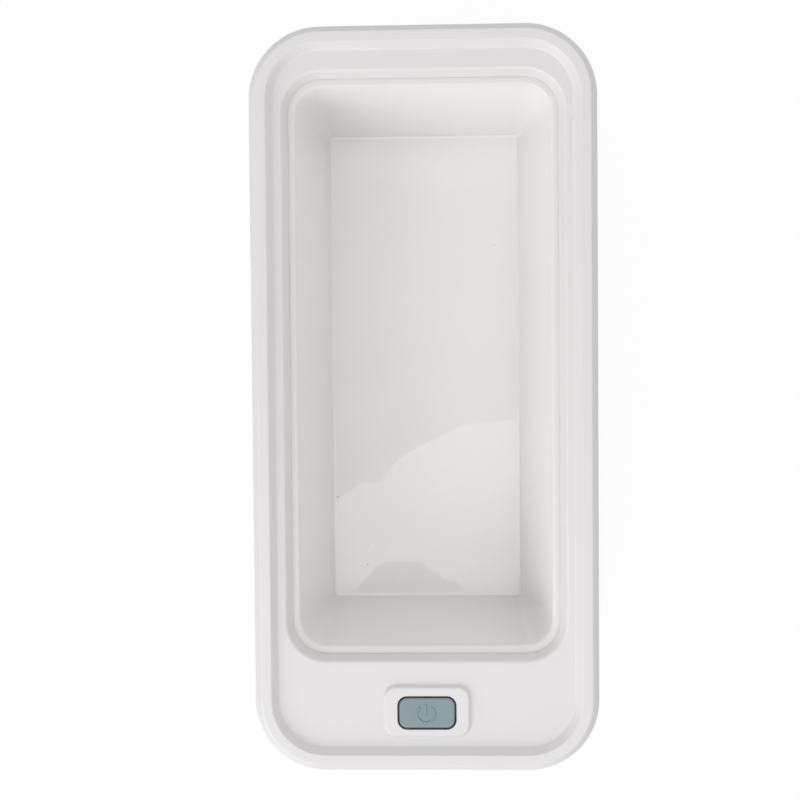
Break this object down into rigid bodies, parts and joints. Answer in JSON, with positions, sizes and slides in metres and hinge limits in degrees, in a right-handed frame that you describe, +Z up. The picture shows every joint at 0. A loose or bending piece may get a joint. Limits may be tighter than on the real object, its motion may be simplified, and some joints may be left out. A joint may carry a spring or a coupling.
{
  "type": "ultrasonic jewelry cleaner",
  "caption": "Portable ultrasonic jewelry cleaner, lid off: a deep white tank in a stepped oblong housing with a power button on its front deck and the driver inside.",
  "frame": {"origin": "centre of the bounding box's bottom face, on the surface under the rubber feet", "axes": "+X to the right and +Y to the rear as seen from the button, +Z up out of the tank"},
  "size_m": [0.096, 0.206, 0.0725],
  "materials": {
    "shell_plastic": "satin moulded white",
    "tank_plastic": "polished white",
    "button_plastic": "satin grey-teal",
    "foot_rubber": "matt",
    "silicone": "translucent white",
    "screw_steel": "zinc plated",
    "board_laminate": "green solder mask",
    "ferrite": "dark grey sintered",
    "bobbin_plastic": "black",
    "copper": "enamelled wire",
    "capacitor_sleeve": "shrunk sleeve",
    "film_case": "moulded box",
    "sink_aluminium": "extruded",
    "package_epoxy": "moulded epoxy",
    "header_nylon": "natural nylon",
    "switch_can": "formed steel",
    "plunger_plastic": "black",
    "plate_aluminium": "turned",
    "piezo_ceramic": "silvered ceramic",
    "solder": "bright",
    "lead_red": "wire insulation",
    "lead_black": "wire insulation",
    "lead_white": "wire insulation",
    "inlet_plastic": "black moulded",
    "contact_metal": "plated"
  },
  "bodies": {
    "housing": {"upper_housing": "shell_plastic", "base_cover": "shell_plastic", "tank": "tank_plastic", "tank_gasket": "silicone", "tank_screws": "screw_steel", "case_screws": "screw_steel", "foot_front_left": "foot_rubber", "foot_front_right": "foot_rubber", "foot_rear_left": "foot_rubber", "foot_rear_right": "foot_rubber", "switch_body": "switch_can", "switch_board": "board_laminate", "switch_board_screws": "screw_steel", "switch_leads": "lead_white", "driver_board": "board_laminate", "driver_board_screws": "screw_steel", "transformer_core": "ferrite", "transformer_bobbin": "bobbin_plastic", "transformer_winding": "copper", "choke_core": "ferrite", "choke_winding": "copper", "bulk_capacitor": "capacitor_sleeve", "filter_capacitor": "capacitor_sleeve", "film_capacitor": "film_case", "heat_sink": "sink_aluminium", "power_transistors": "package_epoxy", "transistor_screws": "screw_steel", "control_chip": "package_epoxy", "transducer_header": "header_nylon", "inlet_header": "header_nylon", "switch_header": "header_nylon", "transducer_plate": "plate_aluminium", "piezo_disc": "piezo_ceramic", "solder_joints": "solder", "transducer_lead_live": "lead_red", "transducer_lead_return": "lead_black", "inlet_board": "board_laminate", "inlet_board_screws": "screw_steel", "inlet_board_header": "header_nylon", "inlet_socket": "inlet_plastic", "inlet_pin": "contact_metal", "inlet_lead_live": "lead_red", "inlet_lead_return": "lead_black"},
    "button": {"power_button": "button_plastic"},
    "plunger": {"switch_plunger": "plunger_plastic"}
  },
  "joints": [
    {"name": "button_press", "type": "slide", "parent": "housing", "child": "button", "axis": [0, 0, -1], "range_m": [0, 0.0005], "stiffness_N_per_m": 2500},
    {"name": "plunger_press", "type": "slide", "parent": "housing", "child": "plunger", "axis": [0, 0, -1], "range_m": [0, 0.0005]}
  ],
  "couplings": [
    {"joint": "plunger_press", "follows": "button_press", "ratio": 1}
  ]
}
